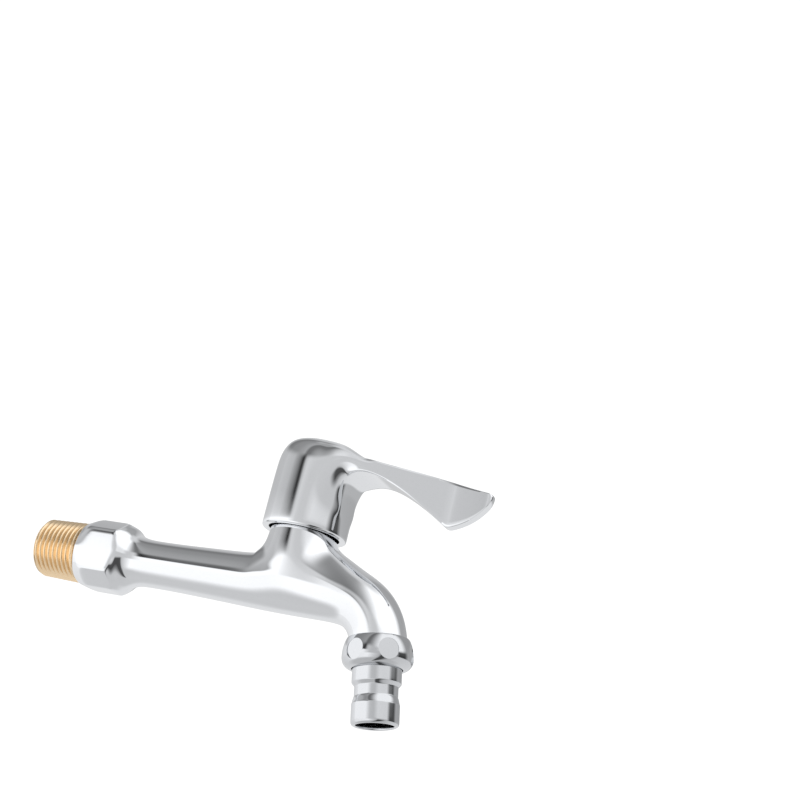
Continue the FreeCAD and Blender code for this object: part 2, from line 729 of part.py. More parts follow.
def seals_and_rings():
    """Rubber seals, washers and clips on the neck axis and at the spout's mouth."""
    outer = "skirt_bore - thread_gap"
    ring("disc_seal", "neck", outer + " - seal_wall", outer, "seat_level", "seal_top")
    inner = outer + " - seal_wall - running_gap"
    ring("seal_support_ring", "neck", inner + " - support_wall", inner,
         "seat_level + support_drop", "seal_top")
    ring("thrust_washer", "neck", "spindle_radius + thread_gap", outer, "foot_top", "washer_top")
    ring("bonnet_gasket", "neck", "skirt_radius + thread_gap", "flange_radius",
         "neck_height", "flange_level")
    ring("outlet_gasket", "outlet", "outlet_gasket_bore", "outlet_gasket_radius",
         "spout_face", "gasket_end")
    for label, level in (("lower_o_ring", "o_ring_low"), ("upper_o_ring", "o_ring_high")):
        torus = doc.addObject("Part::Torus", label)
        torus.Label = label
        for key, text in (("Radius1", "spindle_radius - o_ring_cord / 2"),
                          ("Radius2", "(o_ring_cord - running_gap) / 2"),
                          ("Placement.Base.x", "neck_axis"),
                          ("Placement.Base.z", level)):
            torus.setExpression(key, bound(text))
        PARTS.append(torus)
    stop = ring("stop_ring", "neck", "spline_radius + running_gap", "stop_ring_radius",
                "boss_top", "stop_top")
    block(stop, "Pad", "stop_tab", "(spline_radius + stop_ring_radius) / 2", "stop_tab_reach",
          "stop_tab_width", "boss_top", "stop_ring_thickness", turn="stop_rest")
    clip = ring("spindle_clip", "neck", "spline_radius - clip_groove + running_gap", "clip_radius",
                "clip_level", "clip_top")
    block(clip, "Pocket", "clip_mouth", "0", "clip_radius + clip_groove", "clip_mouth",
          "clip_level", "clip_thickness")


def outlet_nut():
    """The bulged union nut with round spanner flats."""
    bore = "outlet_thread_radius + thread_gap"
    swell = "(nut_radius - nut_top_radius)"
    rise = "(nut_bulge_level - nut_start)"
    side = "(%s ^ 2 + %s ^ 2) / (2 * %s)" % (swell, rise, swell)
    hole = "nipple_radius + thread_gap"
    step = "nipple_flange_end + running_gap"
    body = turned("outlet_nut", "outlet", [
        (bore, "nut_start"),
        ("nut_top_radius", "nut_start", side),
        ("nut_radius", "nut_bulge_level", "nut_end - nut_bulge_level"),
        ("nut_radius - (nut_end - nut_bulge_level)", "nut_end"),
        (hole, "nut_end"),
        (hole, step),
        (bore, step),
    ])
    reach = "(nut_radius + nut_flat_depth)"
    sketch = sketch_on(body, "round_flat", "YZ_Plane", turn="nut_flat_turn", about=VECTOR(0, 1, 0),
                       at=(reach + " * sin(nut_flat_turn)", "0", reach + " * cos(nut_flat_turn)"))
    ring_outline(sketch, "0", "nut_flat_level", "nut_flat_radius")
    flat = add(body, "Pocket", sketch, Length="2 * nut_flat_depth")
    repeat(body, flat, "nut_flats")
    return body


def hose_nipple():
    """The push-on hose nipple: flange, collar, catch groove and end with a rounded lip."""
    return turned("hose_nipple", "outlet", [
        ("nipple_bore", "gasket_end"),
        ("nipple_flange_radius", "gasket_end"),
        ("nipple_flange_radius", "nipple_flange_end"),
        ("nipple_radius", "nipple_flange_end"),
        ("nipple_radius", "collar_end"),
        ("nipple_groove_radius", "groove_start"),
        ("nipple_groove_radius", "groove_end"),
        ("nipple_end_radius", "end_start"),
        ("nipple_end_radius", "nipple_tip - nipple_lip", "nipple_lip"),
        ("nipple_end_radius - nipple_lip", "nipple_tip"),
        ("nipple_bore", "nipple_tip"),
    ])


def spline_insert():
    """The plastic insert that fits between the splined head and the handle."""
    body = new_body("spline_insert", "neck")
    outer = "insert_radius - running_gap"
    inner = "spline_radius + running_gap"
    spin(body, "Revolution", "insert_outline", [
        (inner, "insert_level"), (outer, "insert_level"), (outer, "insert_top"),
        ("0", "insert_top"), ("0", "spindle_top + running_gap"), (inner, "spindle_top + running_gap"),
    ])
    block(body, "Pad", "insert_rib", "(spline_radius + insert_radius) / 2",
          "insert_radius + insert_key / 2", "insert_key", "insert_level", "insert_top - insert_level")
    screw_hole(body)
    return body


def screw_hole(body):
    """The cross hole for the grub screw, out to the back of the handle."""
    radius = "screw_radius + screw_gap"
    spin(body, "Groove", body.Label + "_screw_hole", [
        ("-1 * spline_radius", "0"),
        ("-1 * spline_radius", radius),
        ("-2 * cap_radius", radius),
        ("-2 * cap_radius", "0"),
    ], at=("0", "screw_level", "0"), axis="H_Axis")


def grub_screw():
    """The handle's fixing screw, with a hexagon socket."""
    body = new_body("handle_grub_screw", "neck")
    tip = "-1 * (spline_radius + running_gap)"
    tail = "-1 * (spline_radius + running_gap + screw_length)"
    point = "screw_radius / 4"
    spin(body, "Revolution", "screw_outline", [
        (tip, "0"),
        (tip, "screw_radius - " + point),
        (tip + " - " + point, "screw_radius"),
        (tail, "screw_radius"),
        (tail, "0"),
    ], at=("0", "screw_level", "0"), axis="H_Axis")
    socket = sketch_on(body, "screw_socket", "YZ_Plane", at=("0", "screw_level", tail))
    outline(socket, regular(6, "screw_socket / 2", 30))
    add(body, "Pocket", socket, Length="screw_socket_depth", Reversed=True)
    return body


def lever_handle():
    """The cast handle: a domed cap over the neck and a fishtail lever arching to the spout."""
    body = new_body("lever_handle", "neck")
    side = sketch_on(body, "lever_side", "XZ_Plane")
    outline(side, [
        ("lever_start", "corbel_level"),
        ("lever_arch_reach - lever_arch_radius", "corbel_level"),
        ("lever_arch_reach - lever_arch_radius", "lever_arch_level", "-lever_arch_radius"),
        ("lever_under_start", "lever_under_level", "-lever_under_radius"),
        ("lever_heel_reach", "lever_heel_level", "lever_tail_radius"),
        ("lever_length", "lever_tip_level", "lever_crest_radius"),
        ("lever_saddle_reach", "lever_saddle_level", "-lever_saddle_radius"),
        ("lever_start", "lever_top_level"),
    ])
    add(body, "Pad", side, Length="2 * cap_radius", SideType="Symmetric")
    round_edges(body, across_edges(body, "lever_heel_reach", "lever_heel_level"), "lever_heel_round")
    round_edges(body, across_edges(body, "lever_length", "lever_tip_level"), "lever_tip_round")
    plan = sketch_on(body, "lever_plan", "XY_Plane")
    half = "(lever_blade / 2)"
    bend = "(lever_taper_round * tan(lever_taper / 2))"
    for sign, inward, outward in (("", "", "-"), ("-1 * ", "-", "")):
        outline(plan, [
            ("lever_start", sign + "sqrt(cap_radius ^ 2 - lever_start ^ 2)", outward + "cap_radius"),
            ("lever_contact", sign + "cap_radius * cos(lever_taper)"),
            ("lever_taper_end - %s * cos(lever_taper)" % bend,
             sign + "(%s + %s * sin(lever_taper))" % (half, bend), inward + "lever_taper_round"),
            ("lever_taper_end + " + bend, sign + half),
            ("lever_length + cap_radius", sign + half),
            ("lever_length + cap_radius", sign + "2 * cap_radius"),
            ("lever_start", sign + "2 * cap_radius"),
        ])
    add(body, "Pocket", plan, Length="2 * cap_top_level", Reversed=True)
    names = []
    front = value("lever_arch_reach") - value("lever_arch_radius")
    for i, edge in enumerate(body.Tip.Shape.Edges, start=1):
        spots = [edge.valueAt(edge.FirstParameter + step * (edge.LastParameter - edge.FirstParameter))
                 for step in (0.0, 0.5, 1.0)]
        one_side = min(q.y for q in spots) * max(q.y for q in spots) > 0
        flat = max(abs(q.z - value("corbel_level")) for q in spots) < TOLERANCE
        upright = abs(spots[0].x - spots[2].x) < TOLERANCE and abs(spots[0].x - front) > TOLERANCE
        if one_side and not flat and not upright:
            names.append("Edge%d" % i)
    round_edges(body, names, "lever_edge_round")
    shoulders = sketch_on(body, "lever_shoulders", "YZ_Plane")
    outline(shoulders, [
        ("cap_radius", "cap_waist_level"),
        ("cap_shoulder_radius", "cap_shoulder_level", "cap_corner_radius"),
        ("cap_crown_radius", "cap_crown_level", "cap_crown_arc"),
        ("0", "cap_top_level", "cap_crown_arc"),
        ("-cap_crown_radius", "cap_crown_level", "cap_corner_radius"),
        ("-cap_shoulder_radius", "cap_shoulder_level"),
        ("-cap_radius", "cap_waist_level"),
        ("-2 * cap_radius", "cap_waist_level"),
        ("-2 * cap_radius", "2 * cap_top_level"),
        ("2 * cap_radius", "2 * cap_top_level"),
        ("2 * cap_radius", "cap_waist_level"),
    ])
    add(body, "Pocket", shoulders, Length="4 * lever_length", SideType="Symmetric")
    rise = "(corbel_top - corbel_level)"
    step = "(corbel_reach - cap_radius)"
    spin(body, "Groove", "lever_corbel", [
        ("cap_radius", "corbel_level"),
        ("corbel_reach", "corbel_level"),
        ("corbel_reach", "corbel_top", "(%s ^ 2 + %s ^ 2) / (2 * %s)" % (rise, step, step)),
    ])
    spin(body, "Revolution", "cap_outline", [
        ("0", "rim_level"),
        ("rim_radius", "rim_level", "rim_round"),
        ("cap_radius", "rim_level + rim_round"),
        ("cap_radius", "cap_waist_level"),
        ("cap_shoulder_radius", "cap_shoulder_level", "cap_corner_radius"),
        ("cap_crown_radius", "cap_crown_level", "cap_crown_arc"),
        ("0", "cap_top_level"),
    ])
    spin(body, "Groove", "cap_hollow", [
        ("0", "rim_level"), ("cap_bore", "rim_level"), ("cap_bore", "cap_ceiling"), ("0", "cap_ceiling"),
    ])
    spin(body, "Revolution", "hub_outline", [
        ("0", "insert_level"), ("hub_radius", "insert_level"),
        ("hub_radius", "insert_top"), ("0", "insert_top"),
    ])
    block(body, "Pad", "hub_rib", "-1 * (cap_bore + cap_radius) / 2",
          "-1 * (hub_radius + insert_radius) / 2", "rib_width", "insert_level",
          "cap_ceiling - insert_level")
    spin(body, "Groove", "insert_socket", [
        ("0", "insert_level"), ("insert_radius", "insert_level"),
        ("insert_radius", "insert_top"), ("0", "insert_top"),
    ])
    block(body, "Pocket", "insert_keyway", "0", "insert_radius + insert_key / 2 + running_gap",
          "insert_key + 2 * running_gap", "insert_level", "insert_top - insert_level")
    screw_hole(body)
    return body


tap_body()
cartridge_bonnet()
valve_spindle()
ceramic_discs()
seals_and_rings()
outlet_nut()
hose_nipple()
spline_insert()
grub_screw()
lever_handle()
doc.recompute()

faults = [o.Name for o in doc.Objects if "Invalid" in o.State or "Error" in o.State]
for part in PARTS:
    if part.Shape.isNull() or not part.Shape.isValid():
        faults.append(part.Label)
if faults:
    raise RuntimeError("these did not build: " + ", ".join(faults))
os.makedirs("parts", exist_ok=True)
for part in PARTS:
    part.Shape.exportStep("parts/%s.step" % part.Label)
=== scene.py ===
from math import asin, cos, pi, radians, sin

import bmesh
import bpy
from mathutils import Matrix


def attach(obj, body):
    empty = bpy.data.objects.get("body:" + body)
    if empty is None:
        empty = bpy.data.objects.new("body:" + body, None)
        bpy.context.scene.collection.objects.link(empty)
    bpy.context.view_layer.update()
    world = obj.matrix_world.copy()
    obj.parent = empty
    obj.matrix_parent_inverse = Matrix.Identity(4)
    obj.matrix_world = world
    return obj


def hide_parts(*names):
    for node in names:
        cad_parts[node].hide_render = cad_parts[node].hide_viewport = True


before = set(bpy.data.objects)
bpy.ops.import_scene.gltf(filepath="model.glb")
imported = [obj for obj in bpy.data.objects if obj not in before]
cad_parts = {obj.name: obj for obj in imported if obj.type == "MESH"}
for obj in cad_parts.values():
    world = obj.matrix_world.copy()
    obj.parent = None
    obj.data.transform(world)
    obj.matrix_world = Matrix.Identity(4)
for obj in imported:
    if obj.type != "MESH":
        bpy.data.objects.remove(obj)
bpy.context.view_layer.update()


# The cast body: wrench flats, pipe, neck and swept spout in one brass casting,
# with the waterway bored into both ends, then polished and chromed. It screws
# into the wall by its thread, and holds the valve in its neck.
mm = 0.001


def start_ring(name, corners, radius, place, lean=0):
    """An open ring of edges, flat on the table before it is leant over to the side."""
    bpy.ops.object.select_all(action="DESELECT")
    bpy.ops.mesh.primitive_circle_add(vertices=corners, radius=radius * mm,
                                      location=[p * mm for p in place], rotation=(0, lean, 0))
    piece = bpy.context.object
    piece.name = piece.data.name = name
    bpy.ops.object.transform_apply(location=True, rotation=True, scale=True)
    bpy.ops.object.mode_set(mode="EDIT")
    bpy.ops.mesh.select_mode(type="VERT")
    bpy.ops.mesh.select_all(action="SELECT")
    return piece


def near(length, goal, slack=0.01):
    """Whether a length is the goal, within a slack in millimetres."""
    return abs(length - goal) < slack


def choose(piece, kind, wanted):
    """Selects the points, edges or faces whose middle is wanted, in millimetres."""
    bpy.ops.mesh.select_mode(type=kind)
    bpy.ops.mesh.select_all(action="DESELECT")
    mesh = bmesh.from_edit_mesh(piece.data)
    if kind == "VERT":
        for point in mesh.verts:
            point.select_set(bool(wanted(point.co / mm)))
    elif kind == "EDGE":
        for edge in mesh.edges:
            middle = (edge.verts[0].co + edge.verts[1].co) / 2
            edge.select_set(bool(wanted(middle / mm)))
    else:
        for face in mesh.faces:
            face.select_set(bool(wanted(face.calc_center_median() / mm)))
    bmesh.update_edit_mesh(piece.data)


def choose_open_edges(piece, wanted):
    """Selects the edges that have one face only, where their middle is wanted."""
    bpy.ops.mesh.select_mode(type="EDGE")
    bpy.ops.mesh.select_all(action="DESELECT")
    mesh = bmesh.from_edit_mesh(piece.data)
    for edge in mesh.edges:
        middle = (edge.verts[0].co + edge.verts[1].co) / 2
        edge.select_set(edge.is_boundary and bool(wanted(middle / mm)))
    bmesh.update_edit_mesh(piece.data)


def carry(step):
    """Moves what is chosen, in millimetres."""
    bpy.ops.transform.translate(value=[s * mm for s in step])


def stretch(amount, about):
    """Stretches what is chosen along each axis, about a point in millimetres."""
    bpy.ops.transform.resize(value=amount, center_override=[a * mm for a in about])


def draw_out(start, way, rows):
    """Draws the chosen ring out along a straight way, row by row of reach and radius."""
    reach, radius = rows[0]
    for next_reach, next_radius in rows[1:]:
        step = [w * (next_reach - reach) * mm for w in way]
        bpy.ops.mesh.extrude_region_move(TRANSFORM_OT_translate={"value": step})
        grow = next_radius / radius
        stretch((grow, grow, grow), [s + w * next_reach for s, w in zip(start, way)])
        reach, radius = next_reach, next_radius


def sharpen(piece, amount, wanted):
    """Keeps the chosen edges crisp when the cage is smoothed."""
    choose(piece, "EDGE", wanted)
    bpy.ops.transform.edge_crease(value=amount)


def finish_mesh(piece, levels, angle=40):
    """Closes the edit, smooths the cage and shades the piece."""
    bpy.ops.mesh.select_all(action="SELECT")
    bpy.ops.mesh.remove_doubles(threshold=0.01 * mm)
    bpy.ops.mesh.normals_make_consistent(inside=False)
    bpy.ops.object.mode_set(mode="OBJECT")
    if levels:
        smooth = piece.modifiers.new("smooth", "SUBSURF")
        smooth.levels = levels
        smooth.render_levels = levels
        bpy.ops.object.modifier_apply(modifier="smooth")
    bpy.ops.object.shade_smooth_by_angle(angle=radians(angle))


# Smoothing draws a ring of 16 corners in to 0.9746 of its radius.
cage_corners, cage_swell = 16, 1 / 0.9746
pipe_foot, pipe_way = (0, 0, 0), (1, 0, 0)
waterway = 5.7

# The flats, from their end at the pipe back to the wall thread.
flat_start, flat_middle, flat_end = 21.0, 27, 32.4
flat_blank, flat_side, flat_side_up, flat_top, flat_top_side = 12.0, 11.45, 7.3, 12.0, 4.5
front_edge, front_face, front_seat = 17.3, 17.2, 7.2
body = start_ring("body_casting", cage_corners, flat_blank, (flat_end, 0, 0), pi / 2)
for turn, side, up in ((0, flat_side, 0), (22.5, flat_side, flat_side_up), (45, 8.05, 9.7),
                       (67.5, flat_top_side, flat_top), (90, 0, flat_top)):
    across = flat_blank * cos(radians(turn))
    height = flat_blank * sin(radians(turn))
    choose(body, "VERT", lambda p: near(abs(p.y), across) and near(abs(p.z), height))
    stretch((1, side / across if side else 1, up / height if up else 1), (flat_end, 0, 0))
bpy.ops.mesh.select_all(action="SELECT")
draw_out(pipe_foot, pipe_way, [(flat_end, 1), (flat_middle, 1), (flat_start, 1), (front_edge, 0.89)])
bpy.ops.transform.tosphere(value=1)
draw_out(pipe_foot, pipe_way, [(front_edge, 11.5), (front_face, 11.0), (front_face, front_seat),
                               (18, front_seat), (18.2, waterway), (60, waterway)])
bpy.ops.mesh.edge_face_add()

# The pipe and the spout. The elbow turns down in five equal steps, and the spout
# ends in a plain spigot, smaller than the pipe, for the nut.
elbow_radius, elbow_steps, elbow_step, spout_radius = 17.5, 5, 15.7, 9.6
pipe_rows = [(34.2, 11.5), (35.6, 10.0), (37.6, 8.9), (40.7, 8.2), (46, 8.12), (54, 8.2), (63, 8.48),
             (73, 8.8), (83, 9.2), (89, 9.4), (95.5, 9.55), (104, 9.6), (112.3, 9.55),
             (115.57, spout_radius)]
pipe_start, pipe_radius = pipe_rows[0]
elbow_start = pipe_rows[-1][0]
bpy.ops.mesh.primitive_circle_add(vertices=cage_corners, radius=pipe_radius * cage_swell * mm,
                                  location=(pipe_start * mm, 0, 0), rotation=(0, pi / 2, 0))
draw_out(pipe_foot, pipe_way, pipe_rows)
for bend in range(elbow_steps):
    if bend:
        bpy.ops.mesh.extrude_region_move()
    bpy.ops.transform.rotate(value=-radians(elbow_step), orient_axis="Y",
                             center_override=(elbow_start * mm, 0, -elbow_radius * mm))
outlet = (132.72, 0, -14.01)
outlet_way = (0.199368, 0, -0.979925)
draw_out(outlet, outlet_way, [(0, spout_radius), (0.7, spout_radius), (0.75, 8.0), (5.0, 8.0), (5.1, 7.6),
                              (5.1, waterway), (-8, waterway)])
bpy.ops.mesh.edge_face_add()

# The shoulder between flats and pipe. Beside the side flats its corners lie further
# in and further from the middle than on a plain ring, towards the flats' own corners.
choose(body, "VERT", lambda p: near(p.x, pipe_start) and abs(p.y) > 10 and 4 < abs(p.z) < 5)
stretch((1, 0.94, 1.3), (pipe_start, 0, 0))
choose(body, "EDGE", lambda p: near(p.x, flat_end) or near(p.x, pipe_start))
bpy.ops.mesh.bridge_edge_loops()
sharpen(body, 0.6, lambda p: flat_start < p.x < flat_end and any(
    near(abs(p.y), side, 0.05) and near(abs(p.z), up, 0.05)
    for side, up in ((flat_side, flat_side_up), (flat_top_side, flat_top))))
sharpen(body, 0.45, lambda p: near(p.x, flat_end))
sharpen(body, 0.35, lambda p: near(p.x, flat_start))
sharpen(body, 0.8, lambda p: near(p.x, front_face) or near(p.x, front_edge))

# The neck, with the valve's bore. Its foot spreads towards the spout and hangs down
# on both sides as a saddle, and two rows of points join it to the pipe.
neck_x, neck_top, neck_foot, bore_floor, neck_bore = 97, 24, 14.2, 13, 9.1
neck_corners, neck_way = 26, (0, 0, 1)
hole_start, hole_end, hole_slope = 83, 121, 0.25
foot_spread, saddle_drop = 1.24, 3
choose(body, "FACE", lambda p: p.x > hole_start and p.x + hole_slope * p.z < hole_end and p.z > 0.5)
bpy.ops.mesh.delete(type="FACE")
bpy.ops.mesh.select_mode(type="VERT")
bpy.ops.mesh.primitive_circle_add(vertices=neck_corners, radius=neck_bore * mm,
                                  location=(neck_x * mm, 0, bore_floor * mm), rotation=(0, 0, pi / 2))
draw_out((neck_x, 0, 0), neck_way, [(bore_floor, neck_bore), (neck_top, neck_bore), (neck_top, 11.0),
                                    (23.6, 11.15), (20.5, 11.35), (17.2, 11.6), (neck_foot, 11.75)])
choose(body, "VERT", lambda p: near(p.z, neck_foot) and p.x > neck_x)
stretch((foot_spread, 1, 1), (neck_x, 0, 0))
for side, level in ((6, neck_foot), (9.5, neck_foot - saddle_drop)):
    choose(body, "VERT", lambda p: near(p.z, level) and abs(p.y) > side and abs(p.x - neck_x) < 13)
    carry((0, 0, -saddle_drop))
choose(body, "EDGE", lambda p: near(p.z, bore_floor) and p.x > hole_start)
bpy.ops.mesh.edge_face_add()
choose_open_edges(body, lambda p: p.x > hole_start - 1)
bpy.ops.mesh.bridge_edge_loops(number_cuts=2, interpolation="LINEAR")

# Behind the neck the joining rows lie a little nearer to it and lower.
choose(body, "VERT", lambda p: 83.1 < p.x < 86 and 9.5 < p.z < 13.5 and abs(p.y) < 6)
carry((0.6, 0, -0.7))

# The pipe is wider under the neck, most at half its height, and the joining rows
# above it swell with it.
for x, side in ((89, 10.4), (95.5, 11.5), (104, 10.6)):
    widening = side / spout_radius
    choose(body, "VERT", lambda p: near(p.x, x, 0.2) and near(p.z, 0, 0.5))
    stretch((1, widening, 1), (x, 0, 0))
    choose(body, "VERT", lambda p: near(p.x, x, 0.2) and -5 < p.z < -3)
    stretch((1, (widening + 1) / 2, 1), (x, 0, 0))
for x, level, widening in ((90.3, 2.7, 1.03), (95.5, 2.7, 1.125), (102.3, 2.7, 1.065),
                           (91.6, 5.5, 1.015), (95.6, 5.5, 1.06), (100.5, 5.5, 1.035)):
    choose(body, "VERT", lambda p: near(p.x, x, 0.3) and near(p.z, level, 0.3) and abs(p.y) > 9)
    stretch((1, widening, 1), (x, 0, level))
finish_mesh(body, levels=3)


def wear_group():
    """Colour, gloss and height that change a little over a surface."""
    group = bpy.data.node_groups.new("surface_wear", "ShaderNodeTree")
    shade, amount = "NodeSocketColor", "NodeSocketFloat"
    for socket, kind in (("Color", shade), ("Stain", shade), ("Stain amount", amount),
                         ("Roughness", amount), ("Dulling", amount), ("Scale", amount)):
        group.interface.new_socket(name=socket, in_out="INPUT", socket_type=kind)
    for socket, kind in (("Color", shade), ("Roughness", amount), ("Height", amount)):
        group.interface.new_socket(name=socket, in_out="OUTPUT", socket_type=kind)
    nodes, links = group.nodes, group.links
    inside = nodes.new("NodeGroupInput")
    outside = nodes.new("NodeGroupOutput")
    place = nodes.new("ShaderNodeTexCoord")
    broad = nodes.new("ShaderNodeTexNoise")
    broad.inputs["Detail"].default_value = 2
    links.new(place.outputs["Object"], broad.inputs["Vector"])
    links.new(inside.outputs["Scale"], broad.inputs["Scale"])
    finer = nodes.new("ShaderNodeMath")
    finer.operation = "MULTIPLY"
    finer.inputs[1].default_value = 9
    links.new(inside.outputs["Scale"], finer.inputs[0])
    fine = nodes.new("ShaderNodeTexNoise")
    fine.inputs["Detail"].default_value = 5
    links.new(place.outputs["Object"], fine.inputs["Vector"])
    links.new(finer.outputs[0], fine.inputs["Scale"])
    stained = nodes.new("ShaderNodeMath")
    stained.operation = "MULTIPLY"
    links.new(fine.outputs["Fac"], stained.inputs[0])
    links.new(inside.outputs["Stain amount"], stained.inputs[1])
    tint = nodes.new("ShaderNodeMix")
    tint.data_type = "RGBA"
    links.new(stained.outputs[0], tint.inputs["Factor"])
    links.new(inside.outputs["Color"], tint.inputs["A"])
    links.new(inside.outputs["Stain"], tint.inputs["B"])
    links.new(tint.outputs["Result"], outside.inputs["Color"])
    dull = nodes.new("ShaderNodeMath")
    dull.operation = "MULTIPLY_ADD"
    links.new(fine.outputs["Fac"], dull.inputs[0])
    links.new(inside.outputs["Dulling"], dull.inputs[1])
    links.new(inside.outputs["Roughness"], dull.inputs[2])
    links.new(dull.outputs[0], outside.inputs["Roughness"])
    links.new(broad.outputs["Fac"], outside.inputs["Height"])
    return group


wear = wear_group()


def worn_material(name, colour, stain, stain_amount, roughness, dulling, scale, depth, metallic=0):
    """A finish with the shared wear, and a shallow relief in millimetres from the same pattern."""
    material = bpy.data.materials.new(name)
    material.use_nodes = True
    nodes, links = material.node_tree.nodes, material.node_tree.links
    shader = nodes["Principled BSDF"]
    shader.inputs["Metallic"].default_value = metallic
    worn = nodes.new("ShaderNodeGroup")
    worn.node_tree = wear
    for socket, value in (("Color", (*colour, 1)), ("Stain", (*stain, 1)), ("Stain amount", stain_amount),
                          ("Roughness", roughness), ("Dulling", dulling), ("Scale", scale)):
        worn.inputs[socket].default_value = value
    links.new(worn.outputs["Color"], shader.inputs["Base Color"])
    links.new(worn.outputs["Roughness"], shader.inputs["Roughness"])
    relief = nodes.new("ShaderNodeBump")
    relief.inputs["Strength"].default_value = 1
    relief.inputs["Distance"].default_value = depth * mm
    links.new(worn.outputs["Height"], relief.inputs["Height"])
    links.new(relief.outputs["Normal"], shader.inputs["Normal"])
    return material


def coat(piece, material):
    """Gives a new piece one finish all over."""
    piece.data.materials.clear()
    piece.data.materials.append(material)


# Bright chrome, whose gloss changes a little over the long soft hollows of polishing.
chrome = worn_material("bright_chrome", colour=(0.86, 0.87, 0.885), stain=(0.74, 0.755, 0.78),
                       stain_amount=0.25, roughness=0.035, dulling=0.03, scale=90, depth=0.01, metallic=1)
coat(body, chrome)
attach(body, "tap")
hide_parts("tap_body")


# The wall thread: a tapered pipe thread cut on the bare end of the same casting,
# with a chamfered mouth and the bored inlet. It is left without chrome, so that
# sealing tape holds on it.
def cut_with(piece, tool, operation):
    """Cuts a piece with a tool, or keeps what both share, and takes the tool away."""
    bpy.ops.object.select_all(action="DESELECT")
    bpy.context.view_layer.objects.active = piece
    piece.select_set(True)
    cut = piece.modifiers.new("cut", "BOOLEAN")
    cut.operation = operation
    cut.object = tool
    cut.solver = "EXACT"
    bpy.ops.object.modifier_apply(modifier="cut")
    bpy.data.objects.remove(tool)


def close_end(piece, wanted):
    """Puts a face on the open end whose edges are wanted."""
    choose_open_edges(piece, wanted)
    bpy.ops.mesh.edge_face_add()


# One turn's outline runs along the root, up a flank, along the crest, down the
# other flank and on to the next root. It winds up from before the mouth, and the
# thread gains 1 in 16 on its width as it goes.
thread_pitch, thread_turns, turn_steps, turns_before = 1.814, 12, 72, 2.03
root, crest = 9.1, 10.1
root_run, flank_run, crest_run = 0.12, 0.7, 0.2
taper_gain = 0.0031
bpy.ops.object.select_all(action="DESELECT")
bpy.ops.mesh.primitive_plane_add(size=mm)
thread = bpy.context.object
thread.name = thread.data.name = "wall_thread"
bpy.ops.object.mode_set(mode="EDIT")
bpy.ops.mesh.select_mode(type="VERT")
bpy.ops.mesh.merge(type="CENTER")
carry((-turns_before * thread_pitch, 0, root))
last_run = thread_pitch - root_run - 2 * flank_run - crest_run
for run, rise in ((root_run, 0), (flank_run, crest - root), (crest_run, 0), (flank_run, root - crest),
                  (last_run, 0)):
    bpy.ops.mesh.extrude_region_move(TRANSFORM_OT_translate={"value": (run * mm, 0, rise * mm)})
bpy.ops.object.mode_set(mode="OBJECT")
winding = thread.modifiers.new("winding", "SCREW")
winding.axis = "X"
winding.screw_offset = thread_pitch * mm
winding.iterations = thread_turns
winding.steps = winding.render_steps = turn_steps
winding.use_merge_vertices = True
winding.merge_threshold = 0.01 * mm
bpy.ops.object.modifier_apply(modifier="winding")
taper = thread.modifiers.new("taper", "SIMPLE_DEFORM")
taper.deform_method = "TAPER"
taper.deform_axis = "X"
taper.factor = taper_gain * thread.dimensions.x / mm
bpy.ops.object.modifier_apply(modifier="taper")
bpy.ops.object.mode_set(mode="EDIT")
bpy.ops.mesh.select_all(action="SELECT")
bpy.ops.mesh.remove_doubles(threshold=0.01 * mm)
for place, before in ((0, True), (front_face, False)):
    bpy.ops.mesh.select_all(action="SELECT")
    bpy.ops.mesh.bisect(plane_co=(place * mm, 0, 0), plane_no=(1, 0, 0), threshold=0.0001 * mm,
                        clear_inner=before, clear_outer=not before)
    close_end(thread, lambda p: near(p.x, place, 0.001))
finish_mesh(thread, levels=0)

inlet_bore, mouth, thread_end = 7.0, -0.01, 17.19
blank = start_ring("thread_blank", 96, inlet_bore, (mouth, 0, 0), pi / 2)
draw_out(pipe_foot, pipe_way, [(mouth, inlet_bore), (mouth, 9.2), (1.4, 10.7), (1.6, 12), (thread_end, 12),
                               (thread_end, inlet_bore), (mouth, inlet_bore)])
finish_mesh(blank, levels=0)
cut_with(thread, blank, "INTERSECT")

# Bare brass: turning leaves fine rings, and the colour warms in fine random patches.
brass = worn_material("machined_brass", colour=(1.0, 0.80, 0.54), stain=(0.92, 0.60, 0.32),
                      stain_amount=0.5, roughness=0.18, dulling=0.1, scale=120, depth=0.01, metallic=1)
coat(thread, brass)
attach(thread, "tap")
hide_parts("tap_body")


# The outlet nut: a brass nut turned to a bulging barrel, with six round flats
# for the fingers, polished and chromed. It draws the nipple up against the spout.
outlet_lean = -asin(outlet_way[0])


def outlet_place(reach):
    """The point on the outlet's axis at a reach from the spout's face."""
    return [o + w * reach for o, w in zip(outlet, outlet_way)]


def turn_ring(name, rows, angle):
    """A ring turned from one closed outline of reach and radius about the outlet's axis."""
    reach, radius = rows[0]
    ring = start_ring(name, turned_corners, radius * turned_swell, outlet_place(reach), outlet_lean)
    draw_out(outlet, outlet_way, rows)
    choose_open_edges(ring, lambda p: True)
    bpy.ops.mesh.bridge_edge_loops()
    finish_mesh(ring, levels=2, angle=angle)
    return ring


# Smoothing draws a ring of 48 corners in to 0.99715 of its radius.
turned_corners, turned_swell = 48, 1 / 0.99715
nut = turn_ring("swivel_nut", [
    (1.6, 9.2), (0.9, 9.72), (-0.9, 9.75), (-1.15, 9.85), (-1.2, 10.1), (-1.1, 10.3), (0.3, 10.95),
    (2.3, 11.5), (4.4, 11.75), (5.8, 11.7), (6.8, 11.4), (7.7, 10.8), (8.4, 9.9), (8.75, 8.9), (8.8, 8.5),
    (8.6, 8.3), (6.4, 8.3), (6.2, 8.6), (6.0, 9.2)], angle=30)

